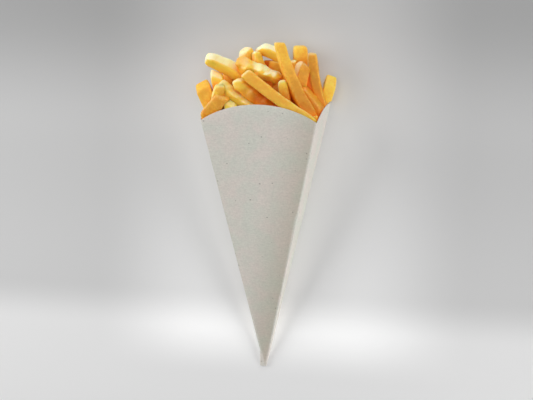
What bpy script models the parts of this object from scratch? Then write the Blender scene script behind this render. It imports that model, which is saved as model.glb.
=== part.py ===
"""A card cone filled with fries, lying on its back panel with its mouth towards +Y.

The cone is a slim four-sided pyramid folded from one blank of card. Its four panels have arched
top edges, the back stands a little higher than the front, and the tip is pressed shut and blunt.
The fries are one heap: a core that fills the cone, with the single fries fused on.

Cone and heap are modelled in the cone's own frame: X across, -Y out of the front panel, and Z
from the point where the four creases would meet up to the mouth. An empty then lays them down.
Run it with: blender --background --python part.py
"""

import math
import random
from collections import namedtuple

import bmesh
import bpy
from mathutils import Vector

MM = 0.001

# The cone. Heights are measured along its axis from the point where the creases would meet.
MOUTH_WIDTH = 100.5 * MM  # between the front corners of the mouth
MOUTH_DEPTH = 57.0 * MM  # from front panel to back panel, at the front corners' height
FRONT_CORNER = 227.0 * MM
BACK_CORNER = 236.5 * MM
FRONT_ARCH = 14.2 * MM  # how far each panel's top edge rises over its own corners
BACK_ARCH = 16.0 * MM
SIDE_ARCH = 5.0 * MM
CARD = 0.6 * MM
CREASE_RADIUS = 0.9 * MM  # outside of a fold
INNER_CREASE_RADIUS = 0.4 * MM
TIP_END = 5.0 * MM  # the blunt end
TIP_BEND = 20.0 * MM  # below this the left side runs straight down
TIP_PRESSED = 12.0 * MM  # below this the front panel runs straight down
TIP_ROUNDING = 1.0 * MM
INNER_FLOOR = 24.0 * MM  # below this the card is pressed together
ARCH_STEPS = 20
SIDE_STEPS = 8
CREASE_STEPS = 2

SLOPE_X = MOUTH_WIDTH / 2 / FRONT_CORNER
SLOPE_Y = MOUTH_DEPTH / 2 / FRONT_CORNER
BACK_LEAN = math.atan(SLOPE_Y)

# The fries
GAP = 0.5 * MM  # between the heap's core and the card
FRY_GAP = (0.7 * MM, 1.3 * MM)  # the same for a single fry, so that no two lie in one plane
RIM_GAP = 1.2 * MM  # how far above the card's edge a fry may begin to lean out
FRY_CHAMFER = 0.76  # flat part of each side of a fry's square section
FRY_END = 1.3 * MM  # length of the rounding at a fry's ends
FRY_END_SHRINK = 0.82
FRY_SEGMENTS = 6
FRY_SWELL = 0.05  # random change of thickness along a fry
SCAN_STEPS = 60  # how finely a fry is searched for the place where it passes the card's edge
ROOT_LEVEL = 206.0 * MM  # the added fries start here, inside the core
HEAP_SHIFT = Vector((1.1 * MM, 0, 0))  # the fries lie a little to the right of the cone's middle
FILL_SEED = 12

# The core above the mouth: height, half width, front and back, all in mm
CORE_RINGS = (
    (206, 0.97, -0.95, 0.97),
    (222, 0.90, -0.60, 0.94),
    (234, 0.80, -0.35, 0.88),
    (243, 0.58, -0.05, 0.75),
    (250, 0.30, 0.20, 0.55),
)
CORE_FLOOR = 28.0 * MM

# One fry: middle of its upper end, middle of its lower end, thickness (mm), turn about its own
# length (degrees) and how far its middle is pushed off the straight line (mm).
Fry = namedtuple("Fry", "tip root thick turn bow", defaults=((0, 0, 0),))

SHOWN_FRIES = (
    # front row, left to right
    Fry((-47, -22, 238), (-44, -21, 205), 9.0, 0),
    Fry((-35.4, -19, 257.2), (-44, -20, 220), 11.0, -15),
    Fry((-30.5, -24, 248.5), (-60, -21, 212), 13.0, 5),
    Fry((-26, -23.5, 240.5), (-20, -22, 205), 11.0, 5),
    Fry((-39, -12, 255.5), (10, -18, 228), 11.0, 12, (0, 0, -2.2)),
    Fry((-21.5, -14, 258.5), (22, -15, 224), 11.0, 5, (0, 0, -1.5)),
    Fry((-14, -22, 266.8), (60, -19, 217.5), 10.5, -10, (0, 0, -2.5)),
    Fry((13, -9, 290.8), (41.5, -9, 226), 10.8, -27, (-3, 0, 0)),
    Fry((44, -16, 230.5), (42, -18, 205), 9.0, 0),
    # second row
    Fry((-55.3, -12, 258), (-32.5, -12, 207), 12.6, -10),
    Fry((-41.5, -9, 263.8), (-33, -6, 212), 11.5, -10),
    Fry((-53, -4, 277.4), (-6, 2, 252.5), 12.0, 33, (0, 0, 2)),
    Fry((-27, -5, 272.5), (15.5, -5, 259.5), 12.0, 40, (0, 0, 1)),
    Fry((16.3, -10, 260), (21, -8, 224), 10.5, 0),
    Fry((28, 1, 252), (58, -3, 217), 13.5, 5),
    Fry((46, -3, 232), (41, -3, 205), 9.0, 0),
    Fry((31.5, 4, 273.8), (22, 4, 225), 11.0, -32),
    # third row
    Fry((-35, 10, 265), (-32, 10, 212), 12.0, 10),
    Fry((-19.9, 8, 285.6), (-15, 12, 232), 12.0, 20),
    Fry((-11.4, 7, 281.5), (-1.4, 9, 246), 10.5, 38),
    Fry((-7, 12, 284.4), (15, 12, 275), 10.5, 25, (0, 0, 1)),
    Fry((1.5, 13, 269.8), (17, 14, 267), 10.5, 5),
    Fry((-1.5, 17, 272.5), (0, 17, 232), 8.5, 0),
    Fry((21.5, 12, 276), (22, 12, 225), 6.0, 10),
    Fry((25.6, 19, 287), (27, 18, 222), 12.4, -20),
    Fry((38.2, 8, 281), (49, 8, 231), 8.8, -5, (-1.9, 0, 0)),
    Fry((36, 15, 271), (34, 13, 212), 11.0, 0),
    Fry((54, 18, 261.3), (40, 17, 213), 11.2, -14),
)

# The fries behind them stand in a loose grid and fan out from the middle
FILL_ROWS = (3.0 * MM, 11.5 * MM, 19.5 * MM)
FILL_COLUMNS = 7
FILL_SPAN = 37.0 * MM
FILL_TOP = 262.0 * MM  # highest tip, in the middle
FILL_DROP = 24.0 * MM  # how much lower the outermost tips are
FILL_FAN = math.radians(13)
FILL_THICK = (8.5, 10.5)
FILL_BOW = 2.0 * MM
JITTER = 2.5 * MM


# ---------------------------------------------------------------- the cone's form


def half_width(height):
    return SLOPE_X * height


def half_depth(height):
    return SLOPE_Y * height


def arch(share):
    """Rise of a shallow arc over its chord, 0 at the ends (share -1 and 1) and 1 in the middle."""
    return 1 - share * share


def front_top(share):
    return FRONT_CORNER + FRONT_ARCH * arch(share)


def back_top(share):
    return BACK_CORNER + BACK_ARCH * arch(share)


def side_top(share):
    """Top edge of a side panel, from its front corner (share -1) to its back corner (1)."""
    middle = (FRONT_CORNER + BACK_CORNER) / 2
    return middle + (BACK_CORNER - FRONT_CORNER) / 2 * share + SIDE_ARCH * arch(share)


def panel_shares(steps):
    return [-1 + 2 * i / steps for i in range(steps + 1)]


def outline(left, right, front, back, radius):
    """Points round a rectangle with rounded corners, from the front left corner anticlockwise."""
    centre_x, centre_y = (left + right) / 2, (front + back) / 2
    flat_x, flat_y = (right - left) / 2 - radius, (back - front) / 2 - radius
    sides = (
        ([(s * flat_x, -flat_y - radius) for s in panel_shares(ARCH_STEPS)], (flat_x, -flat_y), -90),
        ([(flat_x + radius, s * flat_y) for s in panel_shares(SIDE_STEPS)], (flat_x, flat_y), 0),
        ([(-s * flat_x, flat_y + radius) for s in panel_shares(ARCH_STEPS)], (-flat_x, flat_y), 90),
        ([(-flat_x - radius, -s * flat_y) for s in panel_shares(SIDE_STEPS)], (-flat_x, -flat_y), 180),
    )
    points = []
    for side, corner, start in sides:
        points += side
        for i in range(1, CREASE_STEPS):
            angle = math.radians(start + 90 * i / CREASE_STEPS)
            points.append((corner[0] + radius * math.cos(angle), corner[1] + radius * math.sin(angle)))
    return [(centre_x + x, centre_y + y) for x, y in points]


def rim_heights():
    """Height of the top edge at each point of outline()."""
    heights = []
    for top, steps, corner in (
        (front_top, ARCH_STEPS, FRONT_CORNER),
        (side_top, SIDE_STEPS, BACK_CORNER),
        (back_top, ARCH_STEPS, BACK_CORNER),
        (lambda share: side_top(-share), SIDE_STEPS, FRONT_CORNER),
    ):
        heights += [top(s) for s in panel_shares(steps)]
        heights += [corner] * (CREASE_STEPS - 1)
    return heights


def outer_section(height):
    """Outside of the card at a height. The tip is pressed flat, towards the left and the back."""
    left = -half_width(max(height, TIP_BEND))
    front = -half_depth(max(height, TIP_PRESSED))
    return outline(left, half_width(height), front, half_depth(height), CREASE_RADIUS)


def inner_section(height, inset=0.0):
    """Inside of the card at a height, or the same drawn in by an inset."""
    across = half_width(height) - (CARD + inset) * math.hypot(1, SLOPE_X)
    depth = half_depth(height) - (CARD + inset) * math.hypot(1, SLOPE_Y)
    return outline(-across, across, -depth, depth, INNER_CREASE_RADIUS)


# ---------------------------------------------------------------- meshes


def closed_mesh(name, rings):
    """A closed mesh through rings of equally many points, capped at both ends."""
    bm = bmesh.new()
    rows = [[bm.verts.new(point) for point in ring] for ring in rings]
    count = len(rings[0])
    for lower, upper in zip(rows, rows[1:]):
        for i in range(count):
            j = (i + 1) % count
            bm.faces.new((lower[i], lower[j], upper[j], upper[i]))
    bm.faces.new(reversed(rows[0]))
    bm.faces.new(rows[-1])
    bmesh.ops.recalc_face_normals(bm, faces=bm.faces)
    mesh = bpy.data.meshes.new(name)
    bm.to_mesh(mesh)
    bm.free()
    return mesh


def level(section, height):
    return [Vector((x, y, height)) for x, y in section]


def shrunk(points, by):
    """A ring drawn in towards its middle by a length."""
    middle = sum(points, Vector()) / len(points)
    reach = [(p - middle).length for p in points]
    return [middle + (p - middle) * max(0.3, 1 - by / r) for p, r in zip(points, reach)]


def cone_mesh():
    """Up the outside from the tip, over the arched rim, and down the inside to its floor."""
    rings = [shrunk(level(outer_section(TIP_END), TIP_END), TIP_ROUNDING)]
    rings += [level(outer_section(h), h) for h in (TIP_END + TIP_ROUNDING, TIP_PRESSED, TIP_BEND)]
    outer_top, inner_top = [], []
    for i, height in enumerate(rim_heights()):
        outer_top.append(Vector((*outer_section(height)[i], height)))
        inner_top.append(Vector((*inner_section(height)[i], height)))
    rings += [outer_top, inner_top, level(inner_section(INNER_FLOOR), INNER_FLOOR)]
    return closed_mesh("card_cone", rings)


def core_mesh():
    """The bare heap: it fills the cone below the mouth and ends in a low mound that leans to the back."""
    rings = [level(inner_section(CORE_FLOOR, GAP), CORE_FLOOR)]
    for height, wide, front, back in CORE_RINGS:
        height *= MM
        depth = half_depth(height) - CARD - GAP
        across = (half_width(height) - CARD - GAP) * wide
        section = outline(-across, across, front * depth, back * depth, INNER_CREASE_RADIUS)
        rings.append(level(section, height))
    return closed_mesh("core", rings)


# ---------------------------------------------------------------- fries


def fry_section(along, turn):
    """Corners of a square of side 2 with its edges cut off, across a fry. At turn 0 one side is in front."""
    front = Vector((0, -1, 0))
    face = (front - along * front.dot(along)).normalized()
    beside = along.cross(face)
    corners = []
    for u, v in (
        (1, -FRY_CHAMFER), (1, FRY_CHAMFER), (FRY_CHAMFER, 1), (-FRY_CHAMFER, 1),
        (-1, FRY_CHAMFER), (-1, -FRY_CHAMFER), (-FRY_CHAMFER, -1), (FRY_CHAMFER, -1),
    ):
        a = u * math.cos(turn) - v * math.sin(turn)
        b = u * math.sin(turn) + v * math.cos(turn)
        corners.append(face * a + beside * b)
    return corners


def rim_beside(point):
    """Height of the card's edge next to a point: a fry may lean out only above it."""
    across = max(-1, min(1, point.x / half_width(point.z)))
    through = max(-1, min(1, point.y / half_depth(point.z)))
    return max(front_top(across), side_top(through)) + RIM_GAP


def kept_clear(centre, offsets, gap):
    """Moves a section inwards where it would cross the card or reach below the back panel."""
    reach_x = max(abs(o.x) for o in offsets)
    reach_y = max(abs(o.y) for o in offsets)
    lowest = centre.z + min(o.z for o in offsets)
    room_x = half_width(lowest) - (CARD + gap) * math.hypot(1, SLOPE_X) - reach_x
    room_y = half_depth(lowest) - (CARD + gap) * math.hypot(1, SLOPE_Y) - reach_y
    x, y = centre.x, min(centre.y, room_y)
    if lowest < rim_beside(centre):
        x = max(-room_x, min(room_x, x))
        y = max(-room_y, y)
    return Vector((x, y, centre.z))


def fry_shares(path, length, drop):
    """Places of a fry's sections, evenly spread, with one of them where it passes the card's edge."""
    end = FRY_END / length
    shares = [end + (1 - 2 * end) * i / FRY_SEGMENTS for i in range(FRY_SEGMENTS + 1)]
    scan = [i / SCAN_STEPS for i in range(SCAN_STEPS + 1)]
    inside = [share for share in scan if path(share).z - drop < rim_beside(path(share))]
    if inside and inside[0] > 2 * end:
        middle = range(1, FRY_SEGMENTS)
        shares[min(middle, key=lambda i: abs(shares[i] - inside[0]))] = inside[0]
    return [0, *shares, 1]


def fry_mesh(name, fry, rng):
    tip, root = (Vector(end) * MM + HEAP_SHIFT for end in (fry.tip, fry.root))
    bow = Vector(fry.bow) * MM
    along = (root - tip).normalized()
    section = fry_section(along, math.radians(fry.turn))

    def path(share):
        return tip.lerp(root, share) + bow * (4 * share * (1 - share))

    drop = max(-offset.z for offset in section) * fry.thick * MM * (1 - FRY_SWELL) / 2
    gap = rng.uniform(*FRY_GAP)
    rings = []
    for share in fry_shares(path, (root - tip).length, drop):
        thick = fry.thick * MM * (FRY_END_SHRINK if share in (0, 1) else 1 + FRY_SWELL * rng.uniform(-1, 1))
        offsets = [offset * thick / 2 for offset in section]
        centre = kept_clear(path(share), offsets, gap)
        rings.append([centre + offset for offset in offsets])
    return closed_mesh(name, rings)


def fill_fries(rng):
    """Fries in rows behind the shown ones, lower and leaning further out towards the sides."""
    for row, depth in enumerate(FILL_ROWS):
        for column in range(FILL_COLUMNS):
            share = -1 + 2 * (column + 0.5 * (row % 2)) / (FILL_COLUMNS - 0.5)
            top = FILL_TOP - FILL_DROP * share * share + rng.uniform(-2, 1) * JITTER
            lean = FILL_FAN * share + math.radians(rng.uniform(-7, 7))
            x = FILL_SPAN * share + rng.uniform(-1, 1) * JITTER
            root = Vector((x, depth, ROOT_LEVEL))
            tip = Vector((x + math.tan(lean) * (top - ROOT_LEVEL), depth + rng.uniform(-1, 1) * JITTER, top))
            bow = Vector((rng.uniform(-1, 1), rng.uniform(-1, 1), 0)) * FILL_BOW
            yield Fry(tip / MM, root / MM, rng.uniform(*FILL_THICK), rng.uniform(-40, 40), bow / MM)


def signed_volume(faces):
    total = 0.0
    for face in faces:
        corners = [v.co for v in face.verts]
        for b, c in zip(corners[1:], corners[2:]):
            total += corners[0].dot(b.cross(c)) / 6
    return total


def keep_outer_shell(mesh):
    """Drops what a union leaves besides the one outer surface: sealed hollows and loose scraps."""
    bm = bmesh.new()
    bm.from_mesh(mesh)
    left, shells = set(bm.faces), []
    while left:
        shell, front = set(), [left.pop()]
        while front:
            face = front.pop()
            shell.add(face)
            near = {f for edge in face.edges for f in edge.link_faces} & left
            left -= near
            front += near
        shells.append(shell)
    shells.sort(key=signed_volume)
    loose = {face for shell in shells[:-1] for face in shell}
    bmesh.ops.delete(bm, geom=list(loose), context="FACES")
    bm.to_mesh(mesh)
    bm.free()


def fuse(core, members):
    """One Boolean union of the core with a collection, applied. The collection's objects go."""
    union = core.modifiers.new("fuse fries", "BOOLEAN")
    union.operation = "UNION"
    union.operand_type = "COLLECTION"
    union.collection = members
    union.solver = "EXACT"
    bpy.context.view_layer.update()
    joined = bpy.data.meshes.new_from_object(core.evaluated_get(bpy.context.evaluated_depsgraph_get()))
    core.modifiers.clear()
    core.data = joined
    for member in list(members.objects):
        bpy.data.objects.remove(member)
    bpy.data.collections.remove(members)
    keep_outer_shell(core.data)


# ---------------------------------------------------------------- materials and scene


def material(name, colour, roughness):
    made = bpy.data.materials.new(name)
    made.use_nodes = True
    shader = made.node_tree.nodes["Principled BSDF"]
    shader.inputs["Base Color"].default_value = (*colour, 1)
    shader.inputs["Roughness"].default_value = roughness
    shader.inputs["Metallic"].default_value = 0
    return made


def add_object(name, mesh, parent, finish=None):
    made = bpy.data.objects.new(name, mesh)
    bpy.context.scene.collection.objects.link(made)
    made.parent = parent
    if finish:
        mesh.materials.append(finish)
    return made


def lay_down(holder, members):
    """Turns the cone onto its back panel and puts the origin under the middle of the whole."""
    holder.rotation_euler = (BACK_LEAN - math.pi / 2, 0, 0)
    bpy.context.view_layer.update()
    points = [m.matrix_world @ v.co for m in members for v in m.data.vertices]
    for axis in (0, 1):
        values = [p[axis] for p in points]
        holder.location[axis] = -(min(values) + max(values)) / 2
    bpy.context.view_layer.update()


def main():
    for old in list(bpy.data.objects):
        bpy.data.objects.remove(old)
    holder = bpy.data.objects.new("cone_frame", None)
    bpy.context.scene.collection.objects.link(holder)

    card = material("grey card", (0.50, 0.48, 0.44), 0.9)
    fried = material("fried potato", (0.80, 0.42, 0.09), 0.5)
    cone = add_object("card_cone", cone_mesh(), holder, card)

    rng = random.Random(FILL_SEED)
    heap = add_object("fries", core_mesh(), holder, fried)
    members = bpy.data.collections.new("single fries")
    bpy.context.scene.collection.children.link(members)
    for i, fry in enumerate([*SHOWN_FRIES, *fill_fries(rng)]):
        single = bpy.data.objects.new(f"fry_{i}", fry_mesh(f"fry_{i}", fry, rng))
        members.objects.link(single)
        single.parent = holder
    fuse(heap, members)

    lay_down(holder, (cone, heap))


main()
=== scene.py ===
import math
import random

import bmesh
import bpy
import numpy as np
from mathutils import Matrix, Vector, noise
from mathutils.bvhtree import BVHTree


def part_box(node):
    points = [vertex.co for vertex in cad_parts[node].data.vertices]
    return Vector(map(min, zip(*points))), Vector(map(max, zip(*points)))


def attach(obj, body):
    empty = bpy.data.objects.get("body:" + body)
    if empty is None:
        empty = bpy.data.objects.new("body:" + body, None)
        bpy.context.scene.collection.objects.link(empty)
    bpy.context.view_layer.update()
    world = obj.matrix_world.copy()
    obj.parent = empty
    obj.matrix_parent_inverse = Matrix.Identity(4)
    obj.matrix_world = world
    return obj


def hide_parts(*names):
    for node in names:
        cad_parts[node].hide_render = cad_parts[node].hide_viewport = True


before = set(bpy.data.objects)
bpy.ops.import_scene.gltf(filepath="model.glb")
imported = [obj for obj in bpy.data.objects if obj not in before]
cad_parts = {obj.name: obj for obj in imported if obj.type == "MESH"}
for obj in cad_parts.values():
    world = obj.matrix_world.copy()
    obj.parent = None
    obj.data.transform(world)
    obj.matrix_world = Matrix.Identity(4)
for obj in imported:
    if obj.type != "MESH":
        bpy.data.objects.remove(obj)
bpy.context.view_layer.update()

mm = 0.001

# Everything is modelled as the cone stands: x across, -y out of the front panel, z up from the
# point where its four creases would meet. coneFrame then lays it on its back panel.
cone = {
    "mouthWidth": 100.5 * mm,
    "mouthDepth": 57.0 * mm,
    "frontCorner": 227.0 * mm,
    "backCorner": 236.5 * mm,
    "frontArch": 14.2 * mm,
    "backArch": 16.0 * mm,
    "sideArch": 5.0 * mm,
    "archFoot": 60.0 * mm,  # above this the card is drawn out to its arched rim
    "card": 0.6 * mm,
    "crease": 0.9 * mm,
    "cutRound": 0.1 * mm,  # rounding of the card's cut edge
    "sharpOver": 50,  # edges turning by more degrees than this get that rounding
    "tipEnd": 5.0 * mm,  # the blunt end
    "tipWorn": 0.6 * mm,
    "tipPressed": 12.0 * mm,  # below this the front runs straight down
    "tipBend": 20.0 * mm,  # below this the left side runs straight down
    "columns": 44,
    "sideColumns": 14,
    "rowStep": 7.0 * mm,
    "bow": 0.7 * mm,  # how unevenly the front panel lies
    "bowWave": 45.0 * mm,
}

slopeX = cone["mouthWidth"] / 2 / cone["frontCorner"]
slopeY = cone["mouthDepth"] / 2 / cone["frontCorner"]
backLean = math.atan(slopeY)


def layDown():  # the cone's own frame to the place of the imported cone
    low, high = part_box("card_cone")
    peak = cone["backCorner"] + cone["backArch"]
    farthest = peak * (slopeY * math.sin(backLean) + math.cos(backLean))
    clear = 0.01 * mm
    place = Matrix.Translation(((low.x + high.x) / 2, high.y - farthest, clear))
    return place @ Matrix.Rotation(backLean - math.pi / 2, 4, "X")


coneFrame = layDown()


# Helpers for modelling

def clamp(value, reach=1.0):
    return max(-reach, min(reach, value))


def smoothStep(low, high, value):
    t = max(0.0, min(1.0, (value - low) / (high - low)))
    return t * t * (3 - 2 * t)


def startEdit(piece):
    bpy.ops.object.select_all(action="DESELECT")
    piece.select_set(True)
    bpy.context.view_layer.objects.active = piece
    bpy.ops.object.mode_set(mode="EDIT")


def endEdit():
    bpy.ops.object.mode_set(mode="OBJECT")


def pick(kind, test):  # selects the faces or edges that pass the test
    mesh = bpy.context.edit_object.data
    shape = bmesh.from_edit_mesh(mesh)
    bpy.ops.mesh.select_all(action="DESELECT")
    bpy.ops.mesh.select_mode(type={"faces": "FACE", "edges": "EDGE"}[kind])
    for item in getattr(shape, kind):
        if test(item):
            item.select_set(True)
    shape.select_flush_mode()
    bmesh.update_edit_mesh(mesh)


def looksUp(face):
    return face.normal.z > 0.9


def runsUp(edge):
    return abs((edge.verts[0].co - edge.verts[1].co).normalized().z) > 0.7


def cut(point, across):  # one straight cut right through
    bpy.ops.mesh.select_all(action="SELECT")
    bpy.ops.mesh.bisect(plane_co=point, plane_no=across)


def applyAll(piece):
    bpy.ops.object.select_all(action="DESELECT")
    piece.select_set(True)
    bpy.context.view_layer.objects.active = piece
    for modifier in list(piece.modifiers):
        bpy.ops.object.modifier_apply(modifier=modifier.name)


def giveAttribute(piece, name, values):  # one number for each vertex, for the material to read
    piece.data.attributes.new(name, "FLOAT", "POINT").data.foreach_set("value", values)


def tower(name, sections):  # a block drawn up through sections: height, left, right, front, back
    height, left, right, front, back = sections[0]
    bpy.ops.object.select_all(action="DESELECT")
    bpy.ops.mesh.primitive_cube_add(size=1)
    piece = bpy.context.object
    piece.name = piece.data.name = name
    startEdit(piece)
    bpy.ops.transform.resize(value=(right - left, back - front, sections[1][0] - height))
    middle = ((left + right) / 2, (front + back) / 2, (height + sections[1][0]) / 2)
    bpy.ops.transform.translate(value=middle)
    for step, (upper, newLeft, newRight, newFront, newBack) in enumerate(sections[1:]):
        pick("faces", looksUp)
        if step:
            bpy.ops.mesh.extrude_region_move(TRANSFORM_OT_translate={"value": (0, 0, upper - height)})
        wide = (newRight - newLeft) / (right - left)
        deep = (newBack - newFront) / (back - front)
        centre = ((left + right) / 2, (front + back) / 2, upper)
        bpy.ops.transform.resize(value=(wide, deep, 1), center_override=centre)
        shift = ((newLeft + newRight - left - right) / 2, (newFront + newBack - front - back) / 2, 0)
        bpy.ops.transform.translate(value=shift)
        height, left, right, front, back = upper, newLeft, newRight, newFront, newBack
    endEdit()
    return piece


def finishPiece(piece, node, material, smoothUnder=30):
    piece.data.transform(coneFrame)
    bpy.ops.object.select_all(action="DESELECT")
    piece.select_set(True)
    bpy.context.view_layer.objects.active = piece
    bpy.ops.object.shade_smooth_by_angle(angle=math.radians(smoothUnder))
    if material:
        piece.data.materials.clear()
        piece.data.materials.append(material)
    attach(piece, "root")
    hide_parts(node)


# Helpers for materials

noiseRange = (0.3, 0.7)  # nearly all values of a noise texture lie between these


def linear(hexColour):  # sRGB hex to the linear values that a shader takes
    channels = [int(hexColour[i:i + 2], 16) / 255 for i in (1, 3, 5)]
    return [c / 12.92 if c <= 0.04045 else ((c + 0.055) / 1.055) ** 2.4 for c in channels] + [1.0]


def addNode(tree, kind, inputs=None, **settings):  # inputs: socket name or number to value or output
    node = tree.nodes.new(kind)
    for name, value in settings.items():
        setattr(node, name, value)
    for socket, value in (inputs or {}).items():
        if isinstance(value, bpy.types.NodeSocket):
            tree.links.new(value, node.inputs[socket])
        else:
            node.inputs[socket].default_value = value
    return node


def newMaterial(name):
    material = bpy.data.materials.new(name)
    material.use_nodes = True
    tree = material.node_tree
    place = addNode(tree, "ShaderNodeTexCoord").outputs["Object"]
    return material, tree, tree.nodes["Principled BSDF"], place


def mixColour(tree, share, first, second, blend="MIX"):
    mixer = addNode(tree, "ShaderNodeMix", {"Factor": share}, data_type="RGBA", blend_type=blend)
    for socket, value in ((6, first), (7, second)):  # 6, 7 and the output 2 are the colour sockets
        if isinstance(value, bpy.types.NodeSocket):
            tree.links.new(value, mixer.inputs[socket])
        else:
            mixer.inputs[socket].default_value = linear(value)
    return mixer.outputs[2]


def ramp(tree, value, low, high, toLow=0.0, toHigh=1.0):
    inputs = {"Value": value, "From Min": low, "From Max": high, "To Min": toLow, "To Max": toHigh}
    return addNode(tree, "ShaderNodeMapRange", inputs, interpolation_type="SMOOTHSTEP").outputs["Result"]


def calculate(tree, operation, first, second=0.0):
    return addNode(tree, "ShaderNodeMath", {0: first, 1: second}, operation=operation).outputs[0]


def cloud(tree, place, size, detail, roughness=0.5):  # noise with patches of about this size
    inputs = {"Vector": place, "Scale": 1 / size, "Detail": detail, "Roughness": roughness}
    return addNode(tree, "ShaderNodeTexNoise", inputs).outputs["Fac"]


def attribute(tree, name):
    return addNode(tree, "ShaderNodeAttribute", attribute_name=name).outputs["Fac"]


def giveRelief(tree, shader, height, depth, strength):
    bump = addNode(tree, "ShaderNodeBump", {"Height": height, "Strength": strength, "Distance": depth})
    tree.links.new(bump.outputs[0], shader.inputs["Normal"])


# Recycled grey board, pressed from short paper fibres: dull, faintly mottled warm and cool, with a
# fine grain across the panel and a few dark specks of old ink
board = {
    "colour": "#d4d0c7",
    "warm": "#d9cec7",
    "cool": "#cdd0c5",
    "evened": 0.35,  # how far the mottling is drawn back to the plain colour
    "mottle": 18.0 * mm,
    "clump": 1.5 * mm,
    "fibreWidth": 0.5 * mm,
    "fibreLength": 4.0 * mm,
    "grainFrom": (0.6, 1.4),  # fibres and clumps together
    "grain": (0.91, 1.08),  # how dark and how light they make the board
    "shadeTint": "#e0dcd3",  # painted shade: what the front is multiplied by towards its right and its tip, as if it turned from the light
    "shadeFrom": -15.0 * mm,  # where the painted shade begins across the front, at the height given below
    "shadeTo": 45.0 * mm,
    "shadeHeight": 130.0 * mm,
    "shadeSlant": 0.25,
    "speck": "#8f8b82",
    "speckShare": 0.8,
    "speckSpacing": 9.0 * mm,
    "speckTurn": 0.7,  # in radians, so that the flat pattern crosses the side panels too
    "speckRarity": 0.6,  # this share of the cells has none
    "speckReach": 0.075,  # of the largest speck, in spacings
    "speckSoft": 0.03,
    "roughness": 0.88,
    "gloss": 0.25,
    "relief": 0.05 * mm,
    "reliefStrength": 0.35,
}


def specks(tree, place):  # a round spot in some cells, its size from the cell's own random colour
    turn = (0.0, board["speckTurn"], 0.0)
    aslant = addNode(tree, "ShaderNodeMapping", {"Vector": place, "Rotation": turn}).outputs[0]
    inputs = {"Vector": aslant, "Scale": 1 / board["speckSpacing"]}
    cells = addNode(tree, "ShaderNodeTexVoronoi", inputs, voronoi_dimensions="2D")
    size = addNode(tree, "ShaderNodeSeparateColor", {"Color": cells.outputs["Color"]}).outputs[0]
    reach = ramp(tree, size, board["speckRarity"], 1.0, 0.0, board["speckReach"])
    inside = calculate(tree, "SUBTRACT", reach, cells.outputs["Distance"])
    return ramp(tree, inside, 0.0, board["speckSoft"], 0.0, board["speckShare"])


def recycledBoard():
    material, tree, shader, place = newMaterial("recycled grey board")
    fibreScale = (1 / board["fibreLength"], 1 / board["fibreWidth"], 1 / board["fibreWidth"])
    stretched = addNode(tree, "ShaderNodeMapping", {"Vector": place, "Scale": fibreScale}).outputs[0]
    fibres = cloud(tree, stretched, 1.0, 4.0)
    clumps = cloud(tree, place, board["clump"], 2.0)
    mottle = cloud(tree, place, board["mottle"], 3.0)

    colour = mixColour(tree, ramp(tree, mottle, *noiseRange), board["warm"], board["cool"])
    colour = mixColour(tree, board["evened"], colour, board["colour"])
    light = ramp(tree, calculate(tree, "ADD", fibres, clumps), *board["grainFrom"], *board["grain"])
    grain = addNode(tree, "ShaderNodeCombineColor", {"Red": light, "Green": light, "Blue": light})
    colour = mixColour(tree, 1.0, colour, grain.outputs[0], "MULTIPLY")
    # painted shade: the front is darker towards its right and its tip
    paintedShadeColour = mixColour(tree, 1.0, colour, board["shadeTint"], "MULTIPLY")
    colour = mixColour(tree, attribute(tree, "turned"), colour, paintedShadeColour)
    colour = mixColour(tree, specks(tree, place), colour, board["speck"])
    tree.links.new(colour, shader.inputs["Base Color"])
    shader.inputs["Roughness"].default_value = board["roughness"]
    shader.inputs["Specular IOR Level"].default_value = board["gloss"]
    giveRelief(tree, shader, fibres, board["relief"], board["reliefStrength"])
    return material


# The same board where the die cut it: open fibres, paler and rougher
cutBoard = {
    "dark": "#d6d4cd",
    "light": "#e4e2db",
    "fuzz": 0.5 * mm,
    "roughness": 0.95,
    "relief": 0.05 * mm,
    "reliefStrength": 0.4,
}


def boardEdge():
    material, tree, shader, place = newMaterial("cut board edge")
    fuzz = cloud(tree, place, cutBoard["fuzz"], 3.0)
    colour = mixColour(tree, ramp(tree, fuzz, *noiseRange), cutBoard["dark"], cutBoard["light"])
    tree.links.new(colour, shader.inputs["Base Color"])
    shader.inputs["Roughness"].default_value = cutBoard["roughness"]
    giveRelief(tree, shader, fuzz, cutBoard["relief"], cutBoard["reliefStrength"])
    return material


# The card cone

def halfWidth(height):
    return slopeX * height


def halfDepth(height):
    return slopeY * height


def frontTop(share):
    return cone["frontCorner"] + cone["frontArch"] * (1 - share * share)


def backTop(share):
    return cone["backCorner"] + cone["backArch"] * (1 - share * share)


def sideTop(share):
    rise = (cone["backCorner"] - cone["frontCorner"]) / 2
    return cone["frontCorner"] + rise * (1 + share) + cone["sideArch"] * (1 - share * share)


def rimAt(point):  # height of the card's edge on the ruling through a point of the card
    across = clamp(point.x / (halfWidth(point.z) - cone["crease"]))
    through = clamp(point.y / (halfDepth(point.z) - cone["crease"]))
    if abs(across) == 1:
        return sideTop(through)
    return frontTop(across) if point.y < 0 else backTop(across)


def coneSection(height):
    left = -halfWidth(max(height, cone["tipBend"]))
    front = -halfDepth(max(height, cone["tipPressed"]))
    return height, left, halfWidth(height), front, halfDepth(height)


def cutPanels():  # level rows, and columns that run to the tip
    row = cone["tipBend"] + cone["rowStep"]
    while row < cone["backCorner"]:
        cut((0, 0, row), (0, 0, 1))
        row += cone["rowStep"]
    for i in range(1, cone["columns"]):
        share = -1 + 2 * i / cone["columns"]
        cut((0, 0, 0), Vector((1, 0, -share * slopeX)).normalized())
    for i in range(1, cone["sideColumns"]):
        share = -1 + 2 * i / cone["sideColumns"]
        cut((0, 0, 0), Vector((0, 1, -share * slopeY)).normalized())


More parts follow.
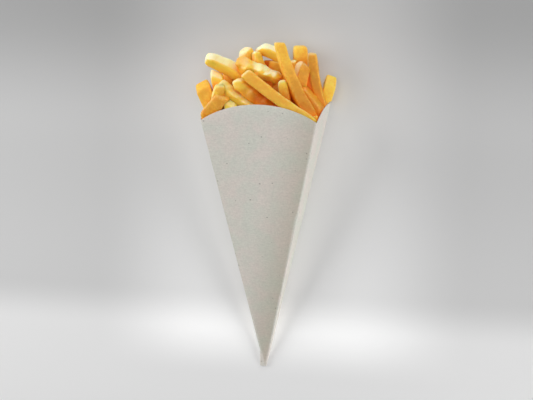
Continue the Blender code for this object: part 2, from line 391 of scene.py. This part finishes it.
def shapePanels(piece):  # the rim's arches, then the front panel's slight unevenness
    top, foot = cone["backCorner"], cone["archFoot"]
    for vertex in piece.data.vertices:
        point = vertex.co.copy()
        rise = clamp((point.z - foot) / (top - foot))
        if rise > 0:
            vertex.co = point * (1 + (rimAt(point) / top - 1) * rise)
        if point.y < 0 and point.z > cone["tipBend"]:
            wave = noise.noise(point / cone["bowWave"]) * 0.5 + 0.5
            middle = 1 - abs(point.x / halfWidth(point.z)) ** 4
            vertex.co.y += cone["bow"] * wave * middle


def giveThickness(piece):
    shell = piece.modifiers.new("board", "SOLIDIFY")
    shell.thickness = cone["card"]
    shell.offset = -1
    shell.use_even_offset = True
    shell.material_offset_rim = 1
    rim = piece.modifiers.new("rim", "BEVEL")
    rim.width = cone["cutRound"]
    rim.segments = 2
    rim.limit_method = "ANGLE"
    rim.angle_limit = math.radians(cone["sharpOver"])
    applyAll(piece)


def paintedFrontShade(point):  # painted shade: the front is a little darker towards its right and its tip
    if point.y >= 0 or abs(point.x) >= halfWidth(point.z) - cone["crease"] - cone["card"]:
        return 0.0
    along = point.x - board["shadeSlant"] * (point.z - board["shadeHeight"])
    return smoothStep(board["shadeFrom"], board["shadeTo"], along)


def makeCone():
    top = cone["backCorner"]
    height, left, right, front, back = coneSection(cone["tipEnd"])
    worn = cone["tipWorn"]
    sections = [(height, left + worn, right - worn, front + worn, back - worn)]
    sections += [coneSection(h) for h in (height + worn, cone["tipPressed"], cone["tipBend"], top)]
    piece = tower("card_cone.board", sections)
    startEdit(piece)
    pick("edges", runsUp)
    bpy.ops.mesh.bevel(offset=cone["crease"], segments=3, profile=0.5)
    pick("faces", lambda face: looksUp(face) and face.calc_center_median().z > top - mm)
    bpy.ops.mesh.delete(type="FACE")
    cutPanels()
    endEdit()
    shapePanels(piece)
    giveThickness(piece)
    # the painted shade of the front, for the material to read
    giveAttribute(piece, "turned", [paintedFrontShade(vertex.co) for vertex in piece.data.vertices])
    piece.data.materials.append(recycledBoard())
    piece.data.materials.append(boardEdge())
    finishPiece(piece, "card_cone", None)
    print("card cone:", len(piece.data.polygons), "faces")


# The heap of fries
heap = {
    "middle": Vector((1.1 * mm, 0, 0)),  # the fries lie a little to the right of the cone's middle
    "seed": 5,
}


# One fry. In mm and degrees: the middle of its upper and of its lower end, its thickness, its turn
# about its own length, and how far its middle is pushed off the straight line. Then its form: lump
# (height of its swellings, mm), rounding of its edges, blunt for rounding of its ends, taper (width
# of its upper and lower end), waist, slant of its upper end and crag, how rugged the swellings are.
# Then its colour: tone (0 light, 0.5 golden, 1 deep, 1.8 dark) and how much it deepens downwards,
# which is painted shade where it sinks among the others; pale for how pale its upper side is, partly
# its own colour and partly painted light, pales for how much more so downwards, and lit, the share
# of the painted orange shade between fries that it is spared.
def fryRow(tip, root, thick, turn, bow=(0, 0, 0), lump=0.35, rounding=0.35, blunt=0.25, taper=(1, 1),
           waist=0.0, slant=None, crag=0.4, tone=0.5, deepens=0.0, pale=0.35, pales=0.0, lit=0.0):
    return {
        "tip": Vector(tip) * mm + heap["middle"],
        "root": Vector(root) * mm + heap["middle"],
        "thick": thick * mm,
        "turn": math.radians(turn),
        "bow": Vector(bow) * mm,
        "lump": lump * mm,
        "rounding": rounding,
        "blunt": blunt,
        "taper": taper,
        "waist": waist,
        "slant": slant,
        "crag": crag,
        "tone": tone,
        "deepens": deepens,
        "pale": pale,
        "pales": pales,
        "lit": lit,
    }


# The fries that show, each list from the front of the heap to its back
def goldenFries():
    return [
        fryRow((-30.5, -24, 248.5), (-60, -21, 212), 13.0, 5, rounding=0.3, blunt=0.2, tone=0.8,
               slant=(0.05, 0.25), pale=0.1),
        fryRow((-35.4, -19, 257.2), (-44, -20, 220), 11.0, -15, rounding=0.5, blunt=0.5, tone=0.3,
               slant=(0.1, 0.1)),
        fryRow((-47, -22, 238), (-44, -21, 205), 9.0, 0, rounding=0.2),
        fryRow((-26, -23.5, 240.5), (-20, -22, 205), 11.0, 5, rounding=0.4, slant=(0.3, -0.6),
               tone=0.0, pale=0.7, lit=0.65),
        fryRow((-39, -14, 255), (10, -20, 227.5), 11.0, 20, (0, 0, -2.2), lump=0.6, crag=0.8,
               taper=(1.1, 0.95), tone=0.0, deepens=0.2, pale=0.5, lit=0.35),
        fryRow((-21.5, -14, 258.5), (22, -15, 224), 12.0, 12, (0, 0, -1.5), lump=0.9, crag=0.8,
               rounding=0.7, blunt=0.5, tone=-0.1, deepens=4.2, pale=0.6),
        fryRow((-14, -22, 266.6), (60, -19, 216.8), 9.8, -10, (0, 0, -2.5), rounding=0.3,
               taper=(1.04, 0.92), slant=(0.1, -0.2), deepens=-0.3, lit=0.5),
        fryRow((13, -9, 290.8), (41.5, -9, 226), 10.8, -27, (-3.0, 0, 0), rounding=0.3,
               taper=(0.85, 1.14), slant=(0.05, -0.25), tone=0.25, deepens=0.9, pale=0.1),
        fryRow((-55.3, -12, 258), (-32.5, -12, 207), 12.4, -10, lump=0.4, rounding=0.1,
               taper=(1.15, 0.9), slant=(0.4, 0.08), tone=0.35, pale=0.0, lit=0.5),
        fryRow((16.3, -10, 260), (21, -8, 224), 11.0, 0, rounding=0.5, blunt=0.5, taper=(0.85, 1.1),
               tone=-0.1, deepens=2.4, pale=0.8, lit=0.2),
        fryRow((28, 1, 252), (58, -3, 217), 14.0, 5, tone=1.0),
        fryRow((46, -3, 232), (41, -3, 205), 9.0, 0, tone=0.6),
        fryRow((44, -16, 230.5), (42, -18, 205), 9.0, 0, tone=0.4),
        fryRow((31.5, 4, 273.8), (22, 4, 225), 11.3, -32, rounding=0.3, blunt=0.8, slant=(0.1, -0.1),
               tone=0.85, pale=0.6, lit=0.3),
        fryRow((21.5, 12, 276), (22, 12, 225), 6.0, 10, tone=0.2, pale=0.8),
        fryRow((25.6, 19, 287), (27, 18, 222), 12.4, -20, rounding=0.3, slant=(0.05, 0), tone=0.25,
               pale=0.05),
        fryRow((38.2, 8, 281), (49, 8, 231), 8.8, -5, (-1.9, 0, 0), slant=(0.05, -0.22), tone=0.75,
               deepens=0.4),
        # painted shade: a fry seen only in a gap, given the darkest tone
        fryRow((36, 10, 268), (34, 9, 212), 11.0, 0, tone=2.0, pale=0.0),
        fryRow((-35, 10, 265), (-32, 10, 212), 12.0, 10, tone=0.6, pale=0.0),
    ]


def paleFries():
    return [
        fryRow((-41.5, -9, 263.8), (-33, -6, 212), 11.5, -10, rounding=0.3, slant=(0.4, -0.45),
               tone=0.1, pale=0.8),
        fryRow((-53, -4, 277.4), (-6, 2, 252.5), 12.3, 33, (0, 0, 2.0), rounding=0.5, blunt=0.6,
               taper=(0.84, 1.1), slant=(0.1, 0), tone=0.05, pale=1.0),
        fryRow((-27, -5, 272.5), (15.5, -5, 259.5), 12.0, 40, (0, 0, 1.0), lump=1.4, crag=0.8,
               rounding=0.5, blunt=0.5, taper=(1.1, 0.85), waist=0.1, slant=(0.1, 0.5), tone=0.7,
               deepens=-1.8, pale=0.1, pales=1.1),
        fryRow((-19.9, 8, 285.6), (-15, 12, 232), 13.0, 20, lump=0.5, rounding=0.8, blunt=0.6,
               slant=(0.1, 0), tone=0.2, pale=0.8),
        fryRow((-11.4, 7, 281.5), (-1.4, 9, 246), 11.0, 38, lump=0.9, crag=0.9, rounding=0.8,
               blunt=0.6, taper=(0.95, 1.1), tone=-0.2, pale=0.9),
        fryRow((-7, 12, 284.4), (15, 12, 275), 10.5, 25, (0, 0, 1), rounding=0.6, blunt=0.3,
               slant=(0, -0.45), tone=0.0, pale=1.0),
        fryRow((1.5, 13, 269.8), (17, 14, 267), 10.5, 5, rounding=0.2, tone=0.3, pale=0.6),
        fryRow((-1.5, 17, 272.5), (0, 17, 232), 8.5, 0, tone=0.4, pale=0.5),
        fryRow((54, 18, 261.3), (40, 17, 213), 11.2, -14, slant=(0.6, -0.06), tone=0.1, pale=0.1,
               lit=0.3),
    ]


# The fries behind them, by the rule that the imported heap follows
fill = {
    "seed": 12,
    "rows": (3.0 * mm, 11.5 * mm, 19.5 * mm),
    "columns": 7,
    "span": 37.0 * mm,
    "top": 262.0 * mm,
    "drop": 24.0 * mm,  # how much lower the outermost tips are
    "rootLevel": 206.0 * mm,
    "fan": math.radians(13),
    "lean": 7,  # at most so many degrees more or less than the fan
    "turn": 40,  # at most so many degrees either way
    "thick": (8.5, 10.5),
    "bow": 2.0 * mm,
    "jitter": 2.5 * mm,
}


def fillFries():
    rng = random.Random(fill["seed"])
    rows = []
    for row, depth in enumerate(fill["rows"]):
        for column in range(fill["columns"]):
            share = -1 + 2 * (column + 0.5 * (row % 2)) / (fill["columns"] - 0.5)
            top = fill["top"] - fill["drop"] * share * share + rng.uniform(-2, 1) * fill["jitter"]
            lean = fill["fan"] * share + math.radians(rng.uniform(-fill["lean"], fill["lean"]))
            x = fill["span"] * share + rng.uniform(-1, 1) * fill["jitter"]
            root = Vector((x, depth, fill["rootLevel"]))
            away = rng.uniform(-1, 1) * fill["jitter"]
            tip = Vector((x + math.tan(lean) * (top - fill["rootLevel"]), depth + away, top))
            bow = Vector((rng.uniform(-1, 1), rng.uniform(-1, 1), 0)) * fill["bow"]
            thick, turn = rng.uniform(*fill["thick"]), rng.uniform(-fill["turn"], fill["turn"])
            rows.append(fryRow(tip / mm, root / mm, thick, turn, bow / mm, tone=0.6, rounding=0.5))
    return rows


# A fry before it is laid: a square bar, in units of half its thickness
blank = {
    "length": 12.0,
    "edge": 0.28,
    "edgeSteps": 4,
    "rows": 84,
    "across": (-0.45, -0.15, 0.15, 0.45),
}


def makeBlank():
    bpy.ops.object.select_all(action="DESELECT")
    bpy.ops.mesh.primitive_cube_add(size=2)
    piece = bpy.context.object
    piece.name = "fryBlank"
    startEdit(piece)
    bpy.ops.transform.resize(value=(1, 1, blank["length"] / 2))
    bpy.ops.transform.translate(value=(0, 0, blank["length"] / 2))
    bpy.ops.mesh.bevel(offset=blank["edge"], segments=blank["edgeSteps"], profile=0.5)
    for i in range(1, blank["rows"]):
        height = blank["edge"] + (blank["length"] - 2 * blank["edge"]) * i / blank["rows"]
        cut((0, 0, height), (0, 0, 1))
    for place in blank["across"]:
        cut((place, 0, 0), (1, 0, 0))
        cut((0, place, 0), (0, 1, 0))
    endEdit()
    print("fry blank:", len(piece.data.polygons), "faces")
    return piece


# How a fry's middle line keeps clear of the card, and where the card presses on the fry
laying = {
    "gap": 0.35 * mm,  # between a fry and the card
    "rimGap": 1.2 * mm,  # how far above the card's edge a fry may begin to lean out
    "leanOut": 2.0,  # how fast it comes out over the edge as it rises
    "pressed": 0.6,  # how much of a fry's half thickness the card leaves it
    "section": ((1, 0.76), (0.76, 1), (1, -0.76), (0.76, -1)),
    "samples": 60,
    "smoothings": 10,
}


def pressedIn(point):  # where a fry meets the card it lies flat on it, and over its edge it leans out
    wall = cone["card"] + laying["gap"]
    wide, deep = halfWidth(point.z), halfDepth(point.z)
    overSide = max(0.0, point.z - sideTop(clamp(point.y / deep)) - wall)
    overFront = max(0.0, point.z - frontTop(clamp(point.x / wide)) - wall)
    x = clamp(point.x, wide - wall * math.hypot(1, slopeX) + overSide * laying["leanOut"])
    room = deep - wall * math.hypot(1, slopeY)
    return Vector((x, max(-room - overFront * laying["leanOut"], min(room, point.y)), point.z))


def keptClear(centre, reach, drop):  # a fry may lean out only above the card's edge
    lowest = centre.z - drop
    wall = cone["card"] + laying["gap"]
    roomX = halfWidth(lowest) - wall * math.hypot(1, slopeX) - reach[0]
    roomY = halfDepth(lowest) - wall * math.hypot(1, slopeY) - reach[1]
    x, y = centre.x, min(centre.y, roomY)
    front = frontTop(clamp(centre.x / halfWidth(centre.z)))
    side = sideTop(clamp(centre.y / halfDepth(centre.z)))
    if lowest < max(front, side) + laying["rimGap"]:
        x = clamp(x, roomX)
        y = max(-roomY, y)
    return Vector((x, y, centre.z))


def fryAxes(along, turn):  # across a fry: out of its front face, and beside it
    front = Vector((0, -1, 0))
    face = (front - along * front.dot(along)).normalized()
    beside = along.cross(face)
    return (face * math.cos(turn) + beside * math.sin(turn),
            beside * math.cos(turn) - face * math.sin(turn))


def middleLine(fry, first, second):  # a smooth curve that keeps clear of the card
    corners = [first * a + second * b for a, b in laying["section"]]
    half = fry["thick"] / 2 * laying["pressed"]
    reach = [max(abs(corner[axis]) for corner in corners) * half for axis in (0, 1)]
    drop = max(abs(corner.z) for corner in corners) * half
    count = laying["samples"]
    line = []
    for i in range(count + 1):
        share = i / count
        point = fry["tip"].lerp(fry["root"], share) + fry["bow"] * (4 * share * (1 - share))
        line.append(keptClear(point, reach, drop))
    for _ in range(laying["smoothings"]):
        line = [line[0]] + [(a + b + c) / 3 for a, b, c in zip(line, line[1:], line[2:])] + [line[-1]]
    return [keptClear(point, reach, drop) for point in line]


def pointOn(line, share):
    spot = share * (len(line) - 1)
    index = min(int(spot), len(line) - 2)
    return line[index].lerp(line[index + 1], spot - index)


# What knife and oil make of the square bar. Distances from an end are in half thicknesses.
frying = {
    "cap": 1.3,  # this much of each end keeps its length, and the middle stretches
    "slantEnds": 3.0,  # how far down an end its slanted cut shows
    "slant": 0.25,  # steepest slant of an end that a fry's row gives none for
    "uneven": 0.06,  # how much wider than deep, or deeper than wide
    "cornerIn": 0.75,  # how far full rounding draws the corners in
    "dome": 1.1,  # how much of an end is rounded
    "hollow": 0.04,  # how far each face sinks in
    "swellings": (8.0, 4.5, 1.3),  # sizes in mm: coarse, medium, fine
    "coarse": 1.2,  # height of the coarse ones in lumps; the medium ones' is the fry's crag
    "fine": 0.12,
    "waistPlace": 0.45,  # in shares of its length
    "waistReach": 0.1,
    "edgeFrom": (0.5, 0.95),  # where an edge begins to count as one, and where it fully does
    "bluntEdge": 0.8,  # share of that lost where an end is blunt
    "deepest": 0.85,  # the share of its length at which a fry's tone has deepened in full
    "lightward": Vector((-0.7, -0.1, 1)),  # the sides that face this way, up and to the left towards the light, are paler: partly the potato's own paler colour, partly painted light
    "lightwardFrom": (0.22, 0.72),  # how squarely they have to face it to be a little and fully so
}


def alongFry(toEnd, half, length):  # a distance from the end of the blank to one on the fry
    cap, middle = frying["cap"], blank["length"] / 2
    if toEnd < cap:
        return toEnd * half
    return cap * half + (toEnd - cap) / (middle - cap) * (length / 2 - cap * half)


def drawnIn(u, w, fry, inward):  # how far rounder edges and ends draw a point of the section in
    far, square = math.hypot(u, w), max(abs(u), abs(w))
    narrow = 1 + (square / far - 1) * fry["rounding"] * frying["cornerIn"] if far > 0.01 else 1
    return narrow * (1 - fry["blunt"] * (1 - math.sqrt(1 - inward * inward)))


def swelling(place, fry, seed):
    coarse, medium, fine = frying["swellings"]
    height = noise.noise(place / coarse + seed) * frying["coarse"]
    height += noise.noise(place / medium + seed * 2) * fry["crag"]
    height += noise.noise(place / fine + seed * 3) * frying["fine"]
    return fry["lump"] * height


def widthAt(share, fry):  # in shares of the fry's thickness
    taper = fry["taper"][0] + (fry["taper"][1] - fry["taper"][0]) * share
    away = (share - frying["waistPlace"]) / frying["waistReach"]
    return taper * (1 - fry["waist"] * math.exp(-away ** 2))


def layFry(source, fry, rng):  # one copy of the blank, bent to its place, with its own lumps
    piece = source.copy()
    piece.data = source.data.copy()
    bpy.context.scene.collection.objects.link(piece)
    along = (fry["root"] - fry["tip"]).normalized()
    length = (fry["root"] - fry["tip"]).length
    half = fry["thick"] / 2
    first, second = fryAxes(along, fry["turn"])
    line = middleLine(fry, first, second)
    seed = Vector([rng.uniform(0, 90) for _ in range(3)])  # its own place in the noise
    steep = frying["slant"]
    slants = [(rng.uniform(-steep, steep), rng.uniform(-steep, steep)) for _ in range(2)]
    slants[0] = fry["slant"] or slants[0]
    aspect = 1 + rng.uniform(-frying["uneven"], frying["uneven"])
    edges, tones, pales = [], [], []
    for vertex in piece.data.vertices:
        u, w, z = vertex.co
        upper = z < blank["length"] / 2
        toEnd = z if upper else blank["length"] - z
        slant = slants[0 if upper else 1]
        near = smoothStep(frying["slantEnds"], 0.0, toEnd)
        down = alongFry(toEnd, half, length) + (slant[0] * (u + 1) + slant[1] * (w + 1)) * near * half
        distance = down if upper else length - down
        share = max(0.0, min(1.0, distance / length))
        centre = pointOn(line, share) + along * (distance - share * length)

        inward = max(0.0, 1 - toEnd / frying["dome"])
        narrow = drawnIn(u, w, fry, inward)
        a = u * narrow * (1 - frying["hollow"] * (1 - w * w)) * aspect
        b = w * narrow * (1 - frying["hollow"] * (1 - u * u)) / aspect
        lump = swelling(Vector((u * half, w * half, distance)) / mm, fry, seed) / half
        size = half * widthAt(share, fry) * (1 + lump)
        vertex.co = pressedIn(centre + (first * a + second * b) * size)

        # an edge is where two of these three come near 1: to a side, to another side, to an end
        middle = sorted((abs(u), abs(w), max(0.0, 1 - toEnd)))[1]
        kept = 1 - frying["bluntEdge"] * fry["blunt"] * inward
        edges.append(smoothStep(*frying["edgeFrom"], middle) * kept)
        # painted shade: the tone deepens towards the lower end, down among the other fries
        lower = smoothStep(0.0, frying["deepest"], share)
        tones.append(fry["tone"] + fry["deepens"] * lower)
        pales.append(fry["pale"] + fry["pales"] * lower)
    # partly painted light: the sides that face up and to the left are made paler
    normals, lightward = piece.data.vertex_normals, frying["lightward"]
    facing = [smoothStep(*frying["lightwardFrom"], lightward.dot(normal.vector)) for normal in normals]
    giveAttribute(piece, "edge", edges)
    giveAttribute(piece, "pale", [share * pale for share, pale in zip(facing, pales)])
    giveAttribute(piece, "tone", tones)
    giveAttribute(piece, "lit", [fry["lit"]] * len(tones))
    return piece


# Fried potato: a thin dry crust over moist starch, shaped by nothing but knife and oil. Light
# enters and comes back golden, the faces blister pale, the edges crisp up paler, oil gives a sheen.
potato = {
    "tones": ((0.0, "#f6d150"), (0.5, "#ecb23e"), (1.0, "#d9972f"), (1.8, "#cf6014")),
    # the paleness of the upward sides: partly the potato's own colour, partly painted light
    "pale": "#f5f1c4",
    "crisp": "#f8cc62",
    "shaded": "#fb9a20",  # painted shade and thrown-back light: where other fries throw their own colour back
    "nook": "#f77009",  # painted shade deep between them
    "patch": 9.0 * mm,
    "patchTone": 0.15,
    "blister": 2.2 * mm,
    "blisterTone": 0.12,
    "crispFrom": (0.35, 0.7, 0.0, 0.5),  # two values of the blisters, and how crisp they are there
    "exposedFrom": (0.2, 0.6, 1.0, 0.0),  # two values of the nooks, and how much of the pale is left
    "shadedFrom": (0.15, 0.7, 0.0, 0.8),
    "nookFrom": (0.5, 0.88),
    "roughness": 0.5,
    "gloss": 0.25,
    "scatterShare": 0.6,
    "scatterRadius": (1.0, 0.45, 0.15),
    "scatter": 4.0 * mm,
    "relief": 0.4 * mm,
    "reliefStrength": 0.35,
}


def friedPotato():
    material, tree, shader, place = newMaterial("fried potato")
    patch = cloud(tree, place, potato["patch"], 3.0)
    blister = cloud(tree, place, potato["blister"], 5.0, 0.6)
    nookShade = attribute(tree, "nook")

    patchy = ramp(tree, patch, *noiseRange, -potato["patchTone"], potato["patchTone"])
    blistered = ramp(tree, blister, *noiseRange, potato["blisterTone"], -potato["blisterTone"])
    cooked = calculate(tree, "ADD", attribute(tree, "tone"), patchy)
    cooked = calculate(tree, "ADD", cooked, blistered)
    colour = potato["tones"][0][1]
    for (low, _), (high, deeper) in zip(potato["tones"], potato["tones"][1:]):
        colour = mixColour(tree, ramp(tree, cooked, low, high), colour, deeper)
    crisp = calculate(tree, "MULTIPLY", attribute(tree, "edge"), ramp(tree, blister, *potato["crispFrom"]))
    colour = mixColour(tree, crisp, colour, potato["crisp"])
    # painted shade and thrown-back light where fries are shut in; the paleness, partly painted light,
    # fades there
    colour = mixColour(tree, ramp(tree, nookShade, *potato["shadedFrom"]), colour, potato["shaded"])
    exposed = ramp(tree, nookShade, *potato["exposedFrom"])
    paled = calculate(tree, "MULTIPLY", attribute(tree, "pale"), exposed)
    colour = mixColour(tree, paled, colour, potato["pale"])
    colour = mixColour(tree, ramp(tree, nookShade, *potato["nookFrom"]), colour, potato["nook"])
    tree.links.new(colour, shader.inputs["Base Color"])
    shader.inputs["Roughness"].default_value = potato["roughness"]
    shader.inputs["Specular IOR Level"].default_value = potato["gloss"]
    shader.inputs["Subsurface Weight"].default_value = potato["scatterShare"]
    shader.inputs["Subsurface Radius"].default_value = potato["scatterRadius"]
    shader.inputs["Subsurface Scale"].default_value = potato["scatter"]
    giveRelief(tree, shader, blister, potato["relief"], potato["reliefStrength"])
    return material


# Painted shade and thrown-back light: where fries face other fries or card, their colour is painted a
# deeper orange
nook = {
    "directions": 40,
    "reach": 26.0 * mm,
    "start": 0.3 * mm,
    "grazing": 0.15,  # flatter directions than this aren't looked along
    "blur": 40,
}


def evenDirections():  # spread evenly over a sphere, along a spiral
    golden = math.pi * (3 - math.sqrt(5))
    directions = []
    for i in range(nook["directions"]):
        z = 1 - (2 * i + 1) / nook["directions"]
        across = math.sqrt(1 - z * z)
        directions.append(Vector((across * math.cos(golden * i), across * math.sin(golden * i), z)))
    return directions


def shutIn(tree, point, out, directions):  # how much of what a spot faces is other fries or card
    start = point + out * nook["start"]
    total = hidden = 0.0
    for direction in directions:
        weight = direction.dot(out)
        if weight < nook["grazing"]:
            continue
        total += weight
        distance = tree.ray_cast(start, direction, nook["reach"])[3]
        if distance is not None:
            hidden += weight * (1 - distance / nook["reach"])
    return hidden / total


def spreadOut(mesh, values):  # the painted shade is blurred, as light travels inside a fry and its shades run into each other
    ends = np.empty(len(mesh.edges) * 2, dtype=np.int32)
    mesh.edges.foreach_get("vertices", ends)
    first, second = ends[::2], ends[1::2]
    size = len(values)
    count = np.bincount(ends, minlength=size)
    for _ in range(nook["blur"]):
        total = np.bincount(first, values[second], size) + np.bincount(second, values[first], size)
        values = (values + total / count) / 2
    return values


def paintNookShade(pieces, others):
    vertices, faces = [], []
    for piece in pieces + others:
        first = len(vertices)
        vertices += [vertex.co.copy() for vertex in piece.data.vertices]
        faces += [[first + index for index in face.vertices] for face in piece.data.polygons]
    tree = BVHTree.FromPolygons(vertices, faces)
    directions = evenDirections()
    for piece in pieces:
        mesh = piece.data
        values = [shutIn(tree, vertex.co, normal.vector, directions)
                  for vertex, normal in zip(mesh.vertices, mesh.vertex_normals)]
        lit = np.empty(len(values))
        mesh.attributes["lit"].data.foreach_get("value", lit)
        giveAttribute(piece, "nook", spreadOut(mesh, np.array(values)) * (1 - lit))


def makeFries():
    source = makeBlank()
    rng = random.Random(heap["seed"])
    material = friedPotato()
    kinds = {"fries.golden": goldenFries(), "fries.pale": paleFries(), "fries.behind": fillFries()}
    pieces = []
    for name, rows in kinds.items():
        laid = [layFry(source, fry, rng) for fry in rows]
        bpy.ops.object.select_all(action="DESELECT")
        for piece in laid:
            piece.select_set(True)
        bpy.context.view_layer.objects.active = laid[0]
        bpy.ops.object.join()
        joined = bpy.context.object
        joined.name = joined.data.name = name
        pieces.append(joined)
        finishPiece(joined, "fries", material, smoothUnder=180)
        print(name + ":", len(rows), "fries,", len(joined.data.polygons), "faces")
    bpy.data.objects.remove(source)
    paintNookShade(pieces, [bpy.data.objects["card_cone.board"]])
    print("nooks marked")


# What is seen between the fries: the mass of fries further down, in deep orange shade
core = {
    "floor": 28.0 * mm,
    "gap": 0.8 * mm,
    "rings": (  # height in mm, half width, front and back as shares of the cone's inside
        (206, 0.97, -0.95, 0.97),
        (222, 0.90, -0.60, 0.94),
        (234, 0.80, -0.35, 0.88),
        (243, 0.58, -0.05, 0.75),
    ),
    "cuts": 11,
    "lump": 2.0 * mm,
    "lumpSize": 7.0 * mm,
    "lumpsFrom": (200.0 * mm, 215.0 * mm),  # none below, full ones above
    "shade": {"tone": 1.0, "edge": 0.0, "pale": 0.0, "nook": 1.0},
}


def coreSection(height, wide, front, back):
    across = (halfWidth(height) - cone["card"] - core["gap"]) * wide
    depth = halfDepth(height) - cone["card"] - core["gap"]
    return height, -across, across, front * depth, back * depth


def makeCore():
    sections = [coreSection(core["floor"], 1, -1, 1)]
    sections += [coreSection(height * mm, *shares) for height, *shares in core["rings"]]
    piece = tower("fries.core", sections)
    startEdit(piece)
    bpy.ops.mesh.select_all(action="SELECT")
    bpy.ops.mesh.subdivide(number_cuts=core["cuts"])
    endEdit()
    for vertex in piece.data.vertices:
        lump = noise.noise(vertex.co / core["lumpSize"]) * 0.5 + 0.5
        rise = smoothStep(*core["lumpsFrom"], vertex.co.z)
        vertex.co *= 1 - lump * core["lump"] / vertex.co.length * rise
    for name, value in core["shade"].items():
        giveAttribute(piece, name, [value] * len(piece.data.vertices))
    finishPiece(piece, "fries", bpy.data.materials["fried potato"], smoothUnder=180)
    print("core:", len(piece.data.polygons), "faces")


# The studio: a pale floor under soft light, and the camera at the photo's angle. Places in metres.
studio = {
    "floorSize": 6.0,
    # painted light falloff: the floor is lighter towards the cone's tip and darker beyond its mouth
    "floorStops": ((-0.115, "#e8e8e8"), (-0.075, "#cecece"), (0.06, "#c4c4c4"), (0.18, "#a3a3a3")),
    "sweep": 0.4,  # the stops lie between -sweep and sweep along the floor
    "glow": 1.36,  # painted light: how much brighter the floor is painted round the cone, where its shadow falls
    # the middle of that painted light, a little to the right, where the left lamp's shadow falls
    "glowMiddle": 0.01,
    "glowReach": (0.06, 0.17),
    # the painted light fades out near the tip, so the floor stays darker there, as painted shade
    "glowEnds": (-0.155, -0.105),
    "roughness": 0.9,
    "gloss": 0.1,
    "sky": "#f0f0f0",
    "skyStrength": 0.05,
    "lights": (  # name, place, what it is aimed at, size and watts
        ("top", (0.2, 0.1, 1.9), (0, 0, 0), (1.4, 1.4), 11.7),
        ("left", (-1.1, 0.3, 0.5), (0, 0.05, 0.03), (0.9, 1.1), 13.5),
        ("right", (0.9, 0.8, 0.55), (0, 0.05, 0.03), (1.0, 0.9), 7),
        ("low right", (0.85, -0.7, 0.11), (0, -0.08, 0.03), (0.5, 0.6), 10),
        ("beyond", (-0.12, 1.15, 0.42), (0, 0.08, 0.03), (0.9, 0.6), 4),
    ),
}


def studioFloor():
    material, tree, shader, place = newMaterial("studio paper")
    axes = addNode(tree, "ShaderNodeSeparateXYZ", {0: place})
    along, across = axes.outputs["Y"], axes.outputs["X"]
    reach = studio["sweep"]
    share = addNode(tree, "ShaderNodeMapRange", {"Value": along, "From Min": -reach, "From Max": reach})
    sweep = addNode(tree, "ShaderNodeValToRGB", {"Fac": share.outputs["Result"]})
    sweep.color_ramp.interpolation = "EASE"
    for _ in studio["floorStops"][2:]:
        sweep.color_ramp.elements.new(0.5)
    for stop, (y, colour) in zip(sweep.color_ramp.elements, studio["floorStops"]):
        stop.position = 0.5 + y / reach / 2
        stop.color = linear(colour)
    # painted light round the cone, none near its tip
    aside = calculate(tree, "ABSOLUTE", calculate(tree, "SUBTRACT", across, studio["glowMiddle"]))
    brightest = ramp(tree, along, *studio["glowEnds"], 1.0, studio["glow"])
    glow = ramp(tree, aside, *studio["glowReach"], brightest, 1.0)
    inputs = {0: sweep.outputs["Color"], "Scale": glow}
    lit = addNode(tree, "ShaderNodeVectorMath", inputs, operation="SCALE")
    tree.links.new(lit.outputs[0], shader.inputs["Base Color"])
    shader.inputs["Roughness"].default_value = studio["roughness"]
    shader.inputs["Specular IOR Level"].default_value = studio["gloss"]
    return material


def areaLight(name, place, aim, size, watts):
    light = bpy.data.lights.new(name, "AREA")
    light.shape = "RECTANGLE"
    light.size, light.size_y = size
    light.energy = watts
    lamp = bpy.data.objects.new(name, light)
    bpy.context.scene.collection.objects.link(lamp)
    lamp.location = place
    lamp.rotation_euler = (Vector(place) - Vector(aim)).to_track_quat("Z", "Y").to_euler()


def makeStudio():
    bpy.ops.object.select_all(action="DESELECT")
    bpy.ops.mesh.primitive_plane_add(size=studio["floorSize"])
    floor = bpy.context.object
    floor.name = "studio_floor"
    floor.data.materials.append(studioFloor())
    world = bpy.data.worlds.new("studio")
    world.use_nodes = True
    sky = world.node_tree.nodes["Background"]
    sky.inputs["Color"].default_value = linear(studio["sky"])
    sky.inputs["Strength"].default_value = studio["skyStrength"]
    bpy.context.scene.world = world
    bpy.context.scene.view_settings.view_transform = "Standard"
    for row in studio["lights"]:
        areaLight(*row)
    print("studio:", len(studio["lights"]), "lights")


view = {
    "azimuth": math.radians(11.9),  # round to the right of the front panel
    "elevation": math.radians(12.0),
    "distance": 1.305,
    "pivot": Vector((1.1 * mm, 0, 130.5 * mm)),  # what the camera turns round, as the cone stands
    "lowered": 27,  # how far the pivot sits below the middle of the frame, in photo pixels
    "focal": 1500,  # the focal length in the same pixels
    "lens": 101.3,
    "sensor": 36.0,
    "farthest": 20,
}


def makeCamera():
    around, over = view["azimuth"], view["elevation"]
    out = Vector((math.sin(around) * math.cos(over), -math.cos(around) * math.cos(over), math.sin(over)))
    right = Vector((0, 0, 1)).cross(out).normalized()
    turned = Matrix((right, out.cross(right), out)).transposed().to_4x4()
    camera = bpy.data.objects.new("camera", bpy.data.cameras.new("camera"))
    bpy.context.scene.collection.objects.link(camera)
    place = Matrix.Translation(view["pivot"] + out * view["distance"])
    tilt = Matrix.Rotation(math.atan2(view["lowered"], view["focal"]), 4, "X")
    camera.matrix_world = coneFrame @ place @ turned @ tilt
    camera.data.lens = view["lens"]
    camera.data.sensor_width = view["sensor"]
    camera.data.clip_end = view["farthest"]
    bpy.context.scene.camera = camera
    print("camera placed")


makeCone()
makeFries()
makeCore()
makeStudio()
makeCamera()
